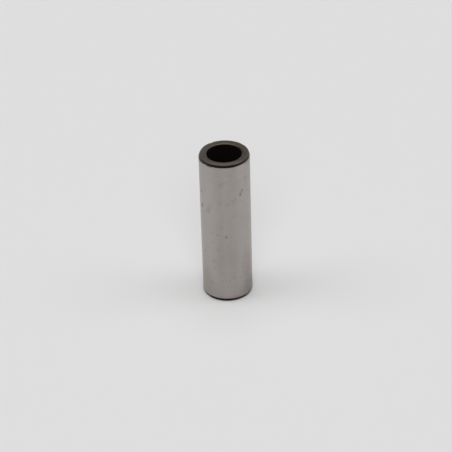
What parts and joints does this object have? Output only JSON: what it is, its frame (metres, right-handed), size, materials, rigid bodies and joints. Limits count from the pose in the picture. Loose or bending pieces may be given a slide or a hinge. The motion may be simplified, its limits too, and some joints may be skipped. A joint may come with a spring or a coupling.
{
  "type": "gudgeon pin",
  "caption": "Hollow cylindrical steel gudgeon pin with a ground barrel, tapered end edges and an open through bore.",
  "frame": {"origin": "centre of the lower end face, on the pin's axis", "axes": "+Z along the pin's axis, up; the pin is round, so X and Y are alike"},
  "size_m": [0.022, 0.022, 0.07],
  "materials": {
    "ground_steel": "ground bright barrel with light stains; end faces, tapered edges and bore keep a dark brown-grey heat-treatment skin"
  },
  "bodies": {
    "root": {"gudgeon_pin": "ground_steel"}
  },
  "joints": []
}
